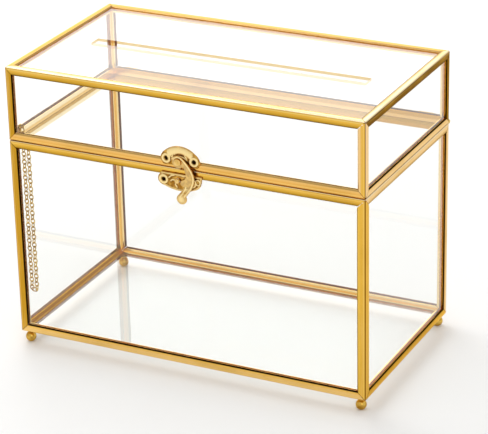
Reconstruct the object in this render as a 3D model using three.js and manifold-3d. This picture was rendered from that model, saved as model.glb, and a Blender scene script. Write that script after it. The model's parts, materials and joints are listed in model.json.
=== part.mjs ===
// Wedding card box: a hinged glass box in a folded brass frame, with a card slot in the lid,
// a swing-hook clasp, two barrel hinges, a lid-stay chain and ball feet.
// Millimetres, +Z up. X runs along the front, -Y is the front. The box stands on z = 0.

import * as THREE from 'three';
import { mergeVertices } from 'three/addons/utils/BufferGeometryUtils.js';
import Module from 'manifold-3d';

const wasm = await Module();
wasm.setup();

// ---------------------------------------------------------------- driving dimensions

const WIDTH = 254;            // 10 in outside the frame
const DEPTH = 139.7;          // 5.5 in
const BODY_HEIGHT = 190.5;    // 7.5 in, without the feet
const LID_HEIGHT = 51;
const PART_GAP = 0.3;         // between the base rim and the lid rim
const FOOT_HEIGHT = 8;

const SLOT_LENGTH = 198.1;    // 7.8 in
const SLOT_WIDTH = 9.5;       // 3/8 in

const GLASS = 2;
const FIT = 0.15;             // clearance on each side of a pane and behind a soldered fitting
const SHEET = 1;              // came flange, folded double
const LIP = 0.5;              // inner lip of the came
const BASE_REACH = 6.2;       // how far a flange reaches over the glass
const LID_REACH = 5.6;
const RIM_REACH = 5.3;
const RIM_WEB = 1.4;
const BEVEL = 1;              // sloped inner edge of a flange
const BEVEL_DROP = 0.75;
const CORNER_RADIUS = 1.6;
const RIM_RADIUS = 0.9;
const LIP_SHORT = 0.4;        // an inner lip ends this much before its flange
const MITRE_SETBACK = 0.15;   // each mitred end stands back this far from its mitre plane
const MITRE_DEPTH = 12;
const ARC_STEPS = 4;

const SLOT_START = SHEET + GLASS + 2 * FIT;   // where the inner lip begins
const CORE = SLOT_START + LIP;                // corner core of the came
const PANE_INSET = CORE + 0.2;                // a pane edge stands back from the box corner

const BALL_RADIUS = 3.6;
const BALL_FLAT_RADIUS = 1.3;
const FOOT_NECK_RADIUS = 1.4;
const FOOT_PAD_RADIUS = 2.3;
const FOOT_PAD_THICKNESS = 0.5;
const FOOT_INSET_X = 5;
const FOOT_INSET_Y = 4.2;

const LEAF = 0.8;             // hinge leaf
const LEAF_HEIGHT = 5.2;
const KNUCKLE_RADIUS = 1.9;
const KNUCKLE_BORE = 1.15;
const PIN_RADIUS = 0.85;
const PIN_HEAD_RADIUS = 1.35;
const PIN_HEAD = 0.5;
const KNUCKLE_CLEARANCE = 0.3;
const BASE_KNUCKLE = 8.8;     // length of each outer knuckle
const LID_KNUCKLE = 11.4;
const HINGE_END = 125.4;      // outer end of a hinge, from the middle of the box
const HINGE_PROJECTION = FIT + 2 * KNUCKLE_RADIUS + KNUCKLE_CLEARANCE;

const PLATE = 1;              // clasp plates
const BOSS = 0.6;             // raised rim round a plate hole
const BOSS_RADIUS = 3.1;
const PLATE_HOLE_RADIUS = 1.2;
const LOBE_RADIUS = 4.2;
const LID_HOLES_X = [-9.8, 9.8];
const BASE_HOLES_X = [-12.2, 8];
const BASE_PLATE_END = 15.2;  // right-hand end of the base plate
const LID_HOLE_RISE = 6.4;    // above the parting
const BASE_HOLE_DROP = 8.3;   // below it
const DOME_RADIUS = 16.2;
const DOME_CENTRE_DROP = 0.6;
const CREST_RADIUS = 10.6;    // inner edge of the raised crest on the lid plate
const HOOK = 1.5;             // thickness of the hook
const HOOK_STANDOFF = 1.95;   // back of the hook, from the frame's front face
const HOOK_THUMB_BEND = 2.2;  // the thumb tab is bent forward this much
const PIVOT_X = -0.6;
const PIVOT_RISE = 5.4;
const RIVET_RADIUS = 1.3;
const RIVET_HEAD_RADIUS = 2.4;
const STUD_X = -2;
const STUD_DROP = 8;
const STUD_RADIUS = 1.2;
const STUD_HEAD_RADIUS = 1.8;
const STUD_FRONT = 3.4;       // front of the stud, from the frame's front face
const CLASP_PROJECTION = HOOK_STANDOFF + HOOK_THUMB_BEND + HOOK;

const CHAIN_RADIUS = 1.75;
const CHAIN_SIDES = 8;
const EYE_RADIUS = 1.1;
const EYE_WIRE = 0.4;
const EYE_INSET_Y = 7.7;      // both eyes, from the front face
const BASE_EYE = { inX: 9.8, drop: 6 };     // from the left face, and below the parting
const LID_EYE = { inX: 6.1, rise: 6.5 };    // from the left face, and above the parting
const EYE_TAB = 0.4;
const CHAIN_DROP = 104.14;     // the loop hangs this far below the base eye
const LID_RUN = 48;           // length of the run that moves with the lid
const CHAIN_END_GAP = 2.2;    // a run starts this far from its eye
const CHAIN_JOIN_GAP = 0.15;

const DEPTH_CENTRE = (CLASP_PROJECTION - HINGE_PROJECTION) / 2;
const FRONT = DEPTH_CENTRE - DEPTH / 2;
const REAR = DEPTH_CENTRE + DEPTH / 2;
const LEFT = -WIDTH / 2;
const RIGHT = WIDTH / 2;
const PARTING = FOOT_HEIGHT + BODY_HEIGHT - LID_HEIGHT;

const BASE_BOX = { min: [LEFT, FRONT, FOOT_HEIGHT], max: [RIGHT, REAR, PARTING - PART_GAP / 2] };
const LID_BOX = { min: [LEFT, FRONT, PARTING + PART_GAP / 2], max: [RIGHT, REAR, FOOT_HEIGHT + BODY_HEIGHT] };

// ---------------------------------------------------------------- materials and scene graph

const brass = (name, color, roughness) =>
  new THREE.MeshStandardMaterial({ name, color, roughness, metalness: 1 });

const makeMaterial = {
  frame: () => brass('brass_frame', 0xd9a441, 0.3),
  casting: () => brass('cast_brass', 0xe0b45c, 0.35),
  wire: () => brass('brass_wire', 0xc99a45, 0.3),
  glass: () => new THREE.MeshStandardMaterial({
    name: 'clear_glass', color: 0xeaf2ee, roughness: 0.03, metalness: 0, transparent: true, opacity: 0.25,
  }),
};

const box = new THREE.Group();

function addPiece(parent, name, geometry, kind) {
  const mesh = new THREE.Mesh(geometry, makeMaterial[kind]());
  mesh.name = name;
  parent.add(mesh);
  return mesh;
}

// ---------------------------------------------------------------- solids

function toSolid(geometry) {
  const bare = geometry.clone();
  bare.deleteAttribute('normal');
  bare.deleteAttribute('uv');
  const merged = mergeVertices(bare, 1e-4);
  return new wasm.Manifold(new wasm.Mesh({
    numProp: 3,
    vertProperties: new Float32Array(merged.attributes.position.array),
    triVerts: new Uint32Array(merged.index.array),
  }));
}

function toGeometry(solid) {
  const mesh = solid.getMesh();
  const geometry = new THREE.BufferGeometry();
  geometry.setAttribute('position', new THREE.BufferAttribute(new Float32Array(mesh.vertProperties), 3));
  geometry.setIndex(new THREE.BufferAttribute(new Uint32Array(mesh.triVerts), 1));
  geometry.computeVertexNormals();
  return geometry;
}

const union = (...geometries) => toGeometry(
  geometries.map(toSolid).reduce((sum, next) => sum.add(next)));

const cut = (geometry, ...tools) => toGeometry(
  tools.map(toSolid).reduce((rest, tool) => rest.subtract(tool), toSolid(geometry)));

const common = (...geometries) => toGeometry(
  geometries.map(toSolid).reduce((shared, next) => shared.intersect(next)));

function boxBetween(low, high) {
  const size = high.map((value, i) => value - low[i]);
  const geometry = new THREE.BoxGeometry(...size);
  geometry.translate(...low.map((value, i) => value + size[i] / 2));
  return geometry;
}

// The two axes of the plane across an axis, in cyclic order, so that no shape is mirrored.
const ACROSS = [[1, 2], [2, 0], [0, 1]];
const AXIS_TURN = [
  new THREE.Matrix4().makeBasis(
    new THREE.Vector3(0, 1, 0), new THREE.Vector3(0, 0, 1), new THREE.Vector3(1, 0, 0)),
  new THREE.Matrix4().makeBasis(
    new THREE.Vector3(0, 0, 1), new THREE.Vector3(1, 0, 0), new THREE.Vector3(0, 1, 0)),
  new THREE.Matrix4(),
];

// A prism along an axis: its outline lies in the plane across that axis.
function prism(shape, axis, from, to, curveSegments = 12) {
  const geometry = new THREE.ExtrudeGeometry(shape, { depth: to - from, bevelEnabled: false, curveSegments });
  geometry.translate(0, 0, from);
  geometry.applyMatrix4(AXIS_TURN[axis]);
  return geometry;
}

const outline = (points) => new THREE.Shape(points.map(([a, b]) => new THREE.Vector2(a, b)));

// A cylinder along an axis; centre gives the two coordinates across it, in cyclic order.
function rod(axis, centre, radius, from, to, sides = 20) {
  const circle = new THREE.Shape().absarc(centre[0], centre[1], radius, 0, 2 * Math.PI, false);
  return prism(circle, axis, from, to, sides);
}

// ---------------------------------------------------------------- came sections

function roundedCorner(radius) {
  const points = [];
  for (let step = 0; step <= ARC_STEPS; step += 1) {
    const angle = (step / ARC_STEPS) * (Math.PI / 2);
    points.push([radius * (1 - Math.sin(angle)), radius * (1 - Math.cos(angle))]);
  }
  return points;
}

// Section on a box edge, as inward distances from its two outer faces: two flanges over the
// glass, a solid corner core and two inner lips.
function cornerSection(reach) {
  const lipEnd = reach - LIP_SHORT;
  const flange = [
    [reach - BEVEL, 0], [reach, BEVEL_DROP], [reach, SHEET], [CORE, SHEET],
    [CORE, SLOT_START], [lipEnd, SLOT_START], [lipEnd, CORE],
  ];
  const mirrored = flange.map(([a, b]) => [b, a]).reverse();
  return [...flange, [CORE, CORE], ...mirrored, ...roundedCorner(CORNER_RADIUS).reverse()];
}

// Section of a rim rail: a is the distance from the side face, b from the parting face.
function rimSection() {
  const lipEnd = RIM_REACH - LIP_SHORT;
  return [
    [CORE, 0], [CORE, lipEnd], [SLOT_START, lipEnd], [SLOT_START, RIM_WEB], [SHEET, RIM_WEB],
    [SHEET, RIM_REACH], [BEVEL_DROP, RIM_REACH], [0, RIM_REACH - BEVEL],
    ...roundedCorner(RIM_RADIUS).reverse(),
  ];
}

const inward = (frame, axis, side, distance) =>
  (side > 0 ? frame.max[axis] - distance : frame.min[axis] + distance);

// Trapezoid that keeps a rail on its own side of the mitre planes towards one neighbour axis.
function mitreBlock(frame, axis, towards, side) {
  const setback = MITRE_SETBACK * Math.SQRT2;
  const corner = [
    [frame.min[axis] + setback, inward(frame, towards, side, 0)],
    [frame.max[axis] - setback, inward(frame, towards, side, 0)],
    [frame.max[axis] - setback - MITRE_DEPTH, inward(frame, towards, side, MITRE_DEPTH)],
    [frame.min[axis] + setback + MITRE_DEPTH, inward(frame, towards, side, MITRE_DEPTH)],
  ];
  const through = 3 - axis - towards;
  const [first] = ACROSS[through];
  const points = corner.map(([along, across]) => (first === axis ? [along, across] : [across, along]));
  return prism(outline(points), through, frame.min[through], frame.max[through]);
}

// One rail of a frame. sides holds the side (-1 or 1) on each of the two axes across the rail,
// in cyclic order; section points are inward distances on the same two axes.
function rail(frame, axis, sides, section) {
  const [a, b] = ACROSS[axis];
  const points = section.map(([da, db]) => [inward(frame, a, sides[0], da), inward(frame, b, sides[1], db)]);
  const bar = prism(outline(points), axis, frame.min[axis], frame.max[axis]);
  return common(bar, mitreBlock(frame, axis, a, sides[0]), mitreBlock(frame, axis, b, sides[1]));
}

const swapped = (section) => section.map(([a, b]) => [b, a]);

const CORNERS = [['front_left', -1, -1], ['front_right', 1, -1], ['rear_right', 1, 1], ['rear_left', -1, 1]];
const WALLS = [['front', 0, -1], ['rear', 0, 1], ['left', 1, -1], ['right', 1, 1]];

function addPosts(group, prefix, frame, reach) {
  for (const [corner, sideX, sideY] of CORNERS) {
    const post = rail(frame, 2, [sideX, sideY], cornerSection(reach));
    addPiece(group, `${prefix}_post_${corner}`, post, 'frame');
  }
}

// Horizontal rails: axis 0 rails lie across (y, z), axis 1 rails lie across (z, x).
function addRails(group, prefix, frame, sideZ, section) {
  for (const [wall, axis, side] of WALLS) {
    const sides = axis === 0 ? [side, sideZ] : [sideZ, side];
    const bar = rail(frame, axis, sides, axis === 0 ? section : swapped(section));
    addPiece(group, `${prefix}_rail_${wall}`, bar, 'frame');
  }
}

// ---------------------------------------------------------------- glass

const PANE_FACE = SHEET + FIT;    // outer face of a pane, from the outer face of the frame

// A box that fills a frame's glass bed: inset gives the inward distance of each pair of sides.
function paneBetween(frame, low, high) {
  return boxBetween(
    low.map((inset, axis) => frame.min[axis] + inset),
    high.map((inset, axis) => frame.max[axis] - inset),
  );
}

function wallPane(frame, axis, side, bottomInset, topInset) {
  const low = [PANE_INSET, PANE_INSET, bottomInset];
  const high = [PANE_INSET, PANE_INSET, topInset];
  const across = axis === 0 ? 1 : 0;
  const span = frame.max[across] - frame.min[across];
  const near = PANE_FACE;
  const far = span - PANE_FACE - GLASS;
  low[across] = side < 0 ? near : far;
  high[across] = side < 0 ? far : near;
  return paneBetween(frame, low, high);
}

function addWallPanes(group, prefix, frame, bottomInset, topInset) {
  for (const [wall, axis, side] of WALLS) {
    addPiece(group, `${prefix}_pane_${wall}`, wallPane(frame, axis, side, bottomInset, topInset), 'glass');
  }
}

function flatPane(frame, side) {
  const height = frame.max[2] - frame.min[2];
  const near = PANE_FACE;
  const far = height - PANE_FACE - GLASS;
  return paneBetween(
    frame,
    [PANE_INSET, PANE_INSET, side < 0 ? near : far],
    [PANE_INSET, PANE_INSET, side < 0 ? far : near],
  );
}

function slottedTopPane() {
  const top = LID_BOX.max[2];
  const slot = boxBetween(
    [-SLOT_LENGTH / 2, DEPTH_CENTRE - SLOT_WIDTH / 2, top - LID_HEIGHT / 2],
    [SLOT_LENGTH / 2, DEPTH_CENTRE + SLOT_WIDTH / 2, top + GLASS],
  );
  return cut(flatPane(LID_BOX, 1), slot);
}

// ---------------------------------------------------------------- feet

function ballFoot() {
  const centre = Math.sqrt(BALL_RADIUS ** 2 - BALL_FLAT_RADIUS ** 2);
  const lowAngle = Math.asin(BALL_FLAT_RADIUS / BALL_RADIUS);
  const highAngle = Math.PI - Math.asin(FOOT_NECK_RADIUS / BALL_RADIUS);
  const steps = 9;
  const top = FOOT_HEIGHT - FIT;
  const profile = [new THREE.Vector2(0, 0)];
  for (let step = 0; step <= steps; step += 1) {
    const angle = lowAngle + ((highAngle - lowAngle) * step) / steps;
    profile.push(new THREE.Vector2(BALL_RADIUS * Math.sin(angle), centre - BALL_RADIUS * Math.cos(angle)));
  }
  profile.push(new THREE.Vector2(FOOT_PAD_RADIUS, top - FOOT_PAD_THICKNESS));
  profile.push(new THREE.Vector2(FOOT_PAD_RADIUS, top));
  profile.push(new THREE.Vector2(0, top));
  const geometry = new THREE.LatheGeometry(profile, 16);
  geometry.rotateX(Math.PI / 2);
  return geometry;
}

function addFeet(group) {
  for (const [corner, sideX, sideY] of CORNERS) {
    const foot = addPiece(group, `foot_${corner}`, ballFoot(), 'frame');
    foot.position.set(
      sideX * (WIDTH / 2 - FOOT_INSET_X), DEPTH_CENTRE + sideY * (DEPTH / 2 - FOOT_INSET_Y), 0);
  }
}

// ---------------------------------------------------------------- hinges

const HINGE_Y = REAR + FIT + KNUCKLE_RADIUS + KNUCKLE_CLEARANCE;
const AXIS_OUTWARD = [HINGE_Y, PARTING];      // hinge axis, as (y, z)

// Spans along X, counted inward from the outer end of a hinge.
const KNUCKLE_SPANS = {
  outer: [0, BASE_KNUCKLE],
  lid: [BASE_KNUCKLE + PART_GAP, BASE_KNUCKLE + PART_GAP + LID_KNUCKLE],
  inner: [BASE_KNUCKLE + 2 * PART_GAP + LID_KNUCKLE, 2 * (BASE_KNUCKLE + PART_GAP) + LID_KNUCKLE],
};

function spanX(side, [start, end]) {
  const ends = [side * (HINGE_END - start), side * (HINGE_END - end)];
  return [Math.min(...ends), Math.max(...ends)];
}

// A knuckle with the part of its leaf that reaches down (side -1) or up (side 1) behind the frame.
function knuckle(side, span, up) {
  const [from, to] = spanX(side, span);
  const tube = rod(0, AXIS_OUTWARD, KNUCKLE_RADIUS, from, to, 24);
  const leaf = boxBetween(
    [from, REAR + FIT, up > 0 ? PARTING : PARTING - LEAF_HEIGHT],
    [to, REAR + FIT + LEAF, up > 0 ? PARTING + LEAF_HEIGHT : PARTING],
  );
  const web = boxBetween(
    [from, REAR + FIT, up > 0 ? PARTING : PARTING - KNUCKLE_RADIUS],
    [to, HINGE_Y, up > 0 ? PARTING + KNUCKLE_RADIUS : PARTING],
  );
  const bore = rod(0, AXIS_OUTWARD, KNUCKLE_BORE, from - 1, to + 1, 24);
  return cut(union(tube, leaf, web), bore);
}

function baseLeaf(side) {
  const [from, to] = spanX(side, [0, KNUCKLE_SPANS.inner[1]]);
  const bridge = boxBetween(
    [from, REAR + FIT, PARTING - LEAF_HEIGHT],
    [to, REAR + FIT + LEAF, PARTING - KNUCKLE_RADIUS - KNUCKLE_CLEARANCE],
  );
  return union(knuckle(side, KNUCKLE_SPANS.outer, -1), knuckle(side, KNUCKLE_SPANS.inner, -1), bridge);
}

function hingePin(side) {
  const [from, to] = spanX(side, [-PART_GAP, KNUCKLE_SPANS.inner[1] + PART_GAP]);
  return union(
    rod(0, AXIS_OUTWARD, PIN_RADIUS, from, to, 16),
    rod(0, AXIS_OUTWARD, PIN_HEAD_RADIUS, from - PIN_HEAD, from, 16),
    rod(0, AXIS_OUTWARD, PIN_HEAD_RADIUS, to, to + PIN_HEAD, 16),
  );
}

function addHinges(base, lid) {
  for (const [name, side] of [['left', -1], ['right', 1]]) {
    addPiece(base, `hinge_base_leaf_${name}`, baseLeaf(side), 'frame');
    addPiece(base, `hinge_pin_${name}`, hingePin(side), 'wire');
    addPiece(lid, `hinge_lid_leaf_${name}`, knuckle(side, KNUCKLE_SPANS.lid, 1), 'frame');
  }
}

// ---------------------------------------------------------------- clasp

// Clasp outlines are drawn as seen from the front: x to the right, z up from the parting.
// A slab of the outline stands from one distance to another in front of the frame.
function slab(shape, near, far, curveSegments = 10) {
  const settings = { depth: far - near, bevelEnabled: false, curveSegments };
  const geometry = new THREE.ExtrudeGeometry(shape, settings);
  geometry.rotateX(Math.PI / 2);
  geometry.translate(0, FRONT - near, PARTING);
  return geometry;
}

function disc(x, z, radius, near, far, sides = 12) {
  return slab(new THREE.Shape().absarc(x, z, radius, 0, 2 * Math.PI, false), near, far, sides);
}

const PLATE_BACK = FIT;
const PLATE_FRONT = FIT + PLATE;

// Plate lobes round the two holes, with raised rims.
function holeLobes(holesX, z) {
  return holesX.flatMap((x) => [
    disc(x, z, LOBE_RADIUS, PLATE_BACK, PLATE_FRONT),
    disc(x, z, BOSS_RADIUS, PLATE_BACK, PLATE_FRONT + BOSS),
  ]);
}

const plateHoles = (holesX, z) => holesX.map((x) =>
  disc(x, z, PLATE_HOLE_RADIUS, -1, PLATE_FRONT + BOSS + 1));

// Half-moon over the lid rim: the part of a round disc above the hole line, with a raised crest.
function lidPlate() {
  const moon = new THREE.Shape();
  const centre = -DOME_CENTRE_DROP;
  const chord = Math.acos((LID_HOLE_RISE - centre) / DOME_RADIUS);
  moon.absarc(0, centre, DOME_RADIUS, Math.PI / 2 - chord, Math.PI / 2 + chord, false);
  moon.lineTo(LID_HOLES_X[0], LID_HOLE_RISE - LOBE_RADIUS);
  moon.lineTo(LID_HOLES_X[1], LID_HOLE_RISE - LOBE_RADIUS);
  const crest = new THREE.Shape();
  const crestAngle = Math.PI * 0.28;
  crest.absarc(0, centre, DOME_RADIUS - 0.6, Math.PI / 2 - crestAngle, Math.PI / 2 + crestAngle, false);
  crest.absarc(0, centre, CREST_RADIUS, Math.PI / 2 + crestAngle, Math.PI / 2 - crestAngle, true);
  const plate = union(
    slab(moon, PLATE_BACK, PLATE_FRONT, 24),
    slab(crest, PLATE_BACK, PLATE_FRONT + BOSS, 16),
    ...holeLobes(LID_HOLES_X, LID_HOLE_RISE),
  );
  const rivetHole = disc(PIVOT_X, PIVOT_RISE, RIVET_RADIUS + 0.3, -1, PLATE_FRONT + BOSS + 1);
  return cut(plate, rivetHole, ...plateHoles(LID_HOLES_X, LID_HOLE_RISE));
}

// Shield under the base rim, with a rounded point and a longer right-hand end.
function basePlate() {
  const shield = new THREE.Shape();
  const top = -BASE_HOLE_DROP + LOBE_RADIUS + 1;
  const low = -BASE_HOLE_DROP - LOBE_RADIUS;
  shield.moveTo(BASE_HOLES_X[0] - 2, top);
  shield.lineTo(BASE_HOLES_X[0], low);
  shield.quadraticCurveTo(0, low - 5.2, BASE_PLATE_END - 4, low);
  shield.quadraticCurveTo(BASE_PLATE_END, low + 2, BASE_PLATE_END, top);
  const lobes = holeLobes(BASE_HOLES_X, -BASE_HOLE_DROP);
  const plate = union(slab(shield, PLATE_BACK, PLATE_FRONT), ...lobes);
  const studHole = disc(STUD_X, -STUD_DROP, STUD_RADIUS + 0.3, -1, PLATE_FRONT + BOSS + 1);
  return cut(plate, studHole, ...plateHoles(BASE_HOLES_X, -BASE_HOLE_DROP));
}

// Headed pin set in a clasp plate: shank, then a head between two distances.
function headedPin(x, z, shank, head, headNear, headFar) {
  return union(disc(x, z, shank, FIT, headFar), disc(x, z, head, headNear, headFar));
}

// Outline of the swing hook: round head on the pivot, a bulging arm with an inward beak, and a
// tail that ends in a round thumb tab.
function hookOutline() {
  const shape = new THREE.Shape();
  shape.moveTo(2.6, 2.7);
  shape.absarc(PIVOT_X, PIVOT_RISE, 4.2, -Math.PI * 0.22, -Math.PI * 1.75, true);
  shape.bezierCurveTo(6.4, 5.2, 10.9, -0.8, 10.7, -4.8);
  shape.bezierCurveTo(10.6, -8.8, 9.2, -11.2, 5.6, -16.6);
  shape.absarc(2.3, -18.6, 3.5, Math.PI * 0.16, -Math.PI * 1.25, true);
  shape.quadraticCurveTo(2.2, -13.8, 3.2, -11.2);
  shape.lineTo(1.1, -10.4);
  shape.quadraticCurveTo(0.1, -8.7, 1.2, -7);
  shape.quadraticCurveTo(4.6, -5.8, 4.6, -3.2);
  shape.quadraticCurveTo(4.4, 0.4, 2.6, 2.7);
  return shape;
}

// Side profile of the hook, as (y, z): flat arm, then a short slope forward to the thumb tab.
function hookProfile() {
  const back = FRONT - HOOK_STANDOFF;
  const slopeTop = PARTING - 11.4;
  const slopeEnd = PARTING - 15;
  const low = PARTING - 30;
  const high = PARTING + 12;
  return outline([
    [back, high], [back, slopeTop], [back - HOOK_THUMB_BEND, slopeEnd], [back - HOOK_THUMB_BEND, low],
    [back - HOOK_THUMB_BEND - HOOK, low], [back - HOOK_THUMB_BEND - HOOK, slopeEnd],
    [back - HOOK, slopeTop], [back - HOOK, high],
  ]);
}

function swingHook() {
  const arm = common(
    slab(hookOutline(), 0, CLASP_PROJECTION + 1, 10),
    prism(hookProfile(), 0, -WIDTH / 4, WIDTH / 4),
  );
  return cut(arm, disc(PIVOT_X, PIVOT_RISE, RIVET_RADIUS + 0.3, 0, CLASP_PROJECTION));
}

function pivotRivet() {
  const headNear = HOOK_STANDOFF + HOOK + 0.3;
  return headedPin(PIVOT_X, PIVOT_RISE, RIVET_RADIUS, RIVET_HEAD_RADIUS, headNear, headNear + 0.9);
}

function catchStud() {
  return headedPin(STUD_X, -STUD_DROP, STUD_RADIUS, STUD_HEAD_RADIUS, STUD_FRONT - 1.4, STUD_FRONT);
}

// ---------------------------------------------------------------- lid-stay chain

const BASE_EYE_POINT = new THREE.Vector3(LEFT + BASE_EYE.inX, FRONT + EYE_INSET_Y, PARTING - BASE_EYE.drop);
const LID_EYE_POINT = new THREE.Vector3(LEFT + LID_EYE.inX, FRONT + EYE_INSET_Y, PARTING + LID_EYE.rise);
const LOOP_Y = BASE_EYE_POINT.y;
const LOOP_Z = BASE_EYE_POINT.z - CHAIN_DROP;
const BASE_LOOP_POINT = new THREE.Vector3(BASE_EYE_POINT.x, LOOP_Y, LOOP_Z);
const LID_LOOP_POINT = new THREE.Vector3(LID_EYE_POINT.x, LOOP_Y, LOOP_Z);

// A plain run of chain between two points, left open by a gap at each end.
function chainRun(start, end, startGap, endGap) {
  const along = end.clone().sub(start).normalize();
  const from = start.clone().addScaledVector(along, startGap);
  const to = end.clone().addScaledVector(along, -endGap);
  const section = new THREE.Shape().absarc(0, 0, CHAIN_RADIUS, 0, 2 * Math.PI, false);
  return new THREE.ExtrudeGeometry(section, {
    steps: 1,
    curveSegments: CHAIN_SIDES / 2,
    extrudePath: new THREE.LineCurve3(from, to),
    bevelEnabled: false,
  });
}

// A wire ring standing across Y; its lowest wire runs along X, where the chain hangs.
function eyeRing(point) {
  const circle = [];
  const sides = 8;
  for (let step = 0; step <= sides; step += 1) {
    const angle = (step / sides) * 2 * Math.PI;
    circle.push(new THREE.Vector2(EYE_RADIUS + EYE_WIRE * Math.cos(angle), EYE_WIRE * Math.sin(angle)));
  }
  const geometry = new THREE.LatheGeometry(circle, 16);
  geometry.translate(point.x, point.y, point.z + EYE_RADIUS);
  return geometry;
}

function baseEye() {
  const [x, y, z] = [BASE_EYE_POINT.x, BASE_EYE_POINT.y, BASE_EYE_POINT.z + 2 * EYE_RADIUS];
  const lip = FRONT + CORE + FIT;
  const stem = rod(1, [z, x], EYE_WIRE + 0.1, lip, y, 10);
  const pad = rod(1, [z, x], 3 * EYE_WIRE, lip, lip + 0.6, 14);
  return union(eyeRing(BASE_EYE_POINT), stem, pad);
}

function lidEye() {
  const lip = LEFT + CORE + FIT;
  const tab = boxBetween(
    [lip, LID_EYE_POINT.y - 1.6, PARTING + 1.2],
    [lip + EYE_TAB, LID_EYE_POINT.y + 1.6, LID_EYE_POINT.z + 2 * EYE_RADIUS],
  );
  const middle = [LID_EYE_POINT.y, LID_EYE_POINT.z + EYE_RADIUS];
  const stem = rod(0, middle, EYE_WIRE, lip, LID_EYE_POINT.x - EYE_RADIUS, 10);
  return union(eyeRing(LID_EYE_POINT), tab, stem);
}

// The link at the bottom of the loop, lying across from one run to the other.
function bottomLink() {
  return rod(
    0, [LOOP_Y, LOOP_Z], 0.9, LID_LOOP_POINT.x - 0.6, BASE_LOOP_POINT.x + 0.6, 10);
}

function addChain(base, lid) {
  const lidLeg = LID_LOOP_POINT.clone().sub(LID_EYE_POINT).normalize();
  const meeting = LID_EYE_POINT.clone().addScaledVector(lidLeg, LID_RUN);
  addPiece(base, 'chain_base_eye', baseEye(), 'wire');
  addPiece(lid, 'chain_lid_eye', lidEye(), 'wire');
  addPiece(box, 'chain_base_run', chainRun(BASE_EYE_POINT, BASE_LOOP_POINT, CHAIN_END_GAP, 1.6), 'wire');
  addPiece(box, 'chain_bottom_link', bottomLink(), 'wire');
  addPiece(box, 'chain_return_run', chainRun(LID_LOOP_POINT, meeting, 1.6, CHAIN_JOIN_GAP), 'wire');
  addPiece(box, 'chain_lid_run', chainRun(LID_EYE_POINT, meeting, CHAIN_END_GAP, CHAIN_JOIN_GAP), 'wire');
}

// ---------------------------------------------------------------- assembly

const base = new THREE.Group();
const lid = new THREE.Group();
box.add(base, lid);

addPosts(base, 'base', BASE_BOX, BASE_REACH);
addRails(base, 'base_bottom', BASE_BOX, -1, cornerSection(BASE_REACH));
addRails(base, 'base_rim', BASE_BOX, 1, rimSection());
addWallPanes(base, 'base', BASE_BOX, PANE_INSET, RIM_WEB + 0.2);
addPiece(base, 'base_pane_bottom', flatPane(BASE_BOX, -1), 'glass');
addFeet(base);

addPosts(lid, 'lid', LID_BOX, LID_REACH);
addRails(lid, 'lid_top', LID_BOX, 1, cornerSection(LID_REACH));
addRails(lid, 'lid_rim', LID_BOX, -1, rimSection());
addWallPanes(lid, 'lid', LID_BOX, RIM_WEB + 0.2, PANE_INSET);
addPiece(lid, 'lid_pane_top', slottedTopPane(), 'glass');

addHinges(base, lid);

addPiece(lid, 'clasp_lid_plate', lidPlate(), 'casting');
addPiece(lid, 'clasp_rivet', pivotRivet(), 'casting');
addPiece(lid, 'clasp_hook', swingHook(), 'casting');
addPiece(base, 'clasp_base_plate', basePlate(), 'casting');
addPiece(base, 'clasp_stud', catchStud(), 'casting');

addChain(base, lid);

export default box;
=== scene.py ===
"""Looks of the wedding card box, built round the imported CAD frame. Metres, +Z up, front is -Y."""

import json
import math

import bpy
import numpy as np
from mathutils import Matrix, Vector


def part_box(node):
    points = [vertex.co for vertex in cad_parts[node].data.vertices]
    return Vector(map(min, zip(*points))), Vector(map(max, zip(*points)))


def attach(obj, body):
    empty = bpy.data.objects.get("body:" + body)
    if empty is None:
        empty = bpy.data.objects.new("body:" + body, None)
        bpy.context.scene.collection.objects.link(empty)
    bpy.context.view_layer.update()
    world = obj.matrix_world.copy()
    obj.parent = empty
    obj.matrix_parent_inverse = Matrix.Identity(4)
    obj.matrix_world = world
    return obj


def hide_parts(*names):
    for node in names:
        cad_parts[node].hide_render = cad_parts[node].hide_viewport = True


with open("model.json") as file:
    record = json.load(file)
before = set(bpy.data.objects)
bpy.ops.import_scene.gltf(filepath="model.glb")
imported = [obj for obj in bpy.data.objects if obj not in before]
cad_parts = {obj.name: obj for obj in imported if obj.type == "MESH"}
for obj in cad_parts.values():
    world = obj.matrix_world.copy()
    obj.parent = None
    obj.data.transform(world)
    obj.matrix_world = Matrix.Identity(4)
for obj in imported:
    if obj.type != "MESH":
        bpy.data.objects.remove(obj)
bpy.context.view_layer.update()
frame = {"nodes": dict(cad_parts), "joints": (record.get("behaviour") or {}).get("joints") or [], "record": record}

MM = 0.001

# ---------------------------------------------------------------- places taken from the CAD frame

JOINTS = {joint["name"]: joint for joint in frame["joints"]}
BODY_OF = {node: body for body, nodes in frame["record"]["behaviour"]["bodies"].items() for node in nodes}

LEFT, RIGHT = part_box("base_post_front_left")[0].x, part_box("base_post_front_right")[1].x
FRONT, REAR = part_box("base_post_front_left")[0].y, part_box("base_post_rear_left")[1].y
FOOT_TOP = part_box("base_bottom_rail_front")[0].z
BASE_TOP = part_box("base_rim_rail_front")[1].z
LID_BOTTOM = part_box("lid_rim_rail_front")[0].z
LID_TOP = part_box("lid_top_rail_front")[1].z
PARTING = (BASE_TOP + LID_BOTTOM) / 2
CENTRE_Y = (FRONT + REAR) / 2
SOLDER_GAP = 0.15              # a soldered fitting stands this far off the frame, in millimetres


# ---------------------------------------------------------------- camera

AZIMUTH, ELEVATION, ROLL = 26.48, 23.67, -1.33     # degrees
CAMERA_DISTANCE = 1.564                            # metres, as are the two below
AIM_HEIGHT = 0.103
AIM_OFFSET = (-0.00836, 0.01549)                   # right and up in the camera's plane
LENS = 173.6                                       # millimetres


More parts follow.
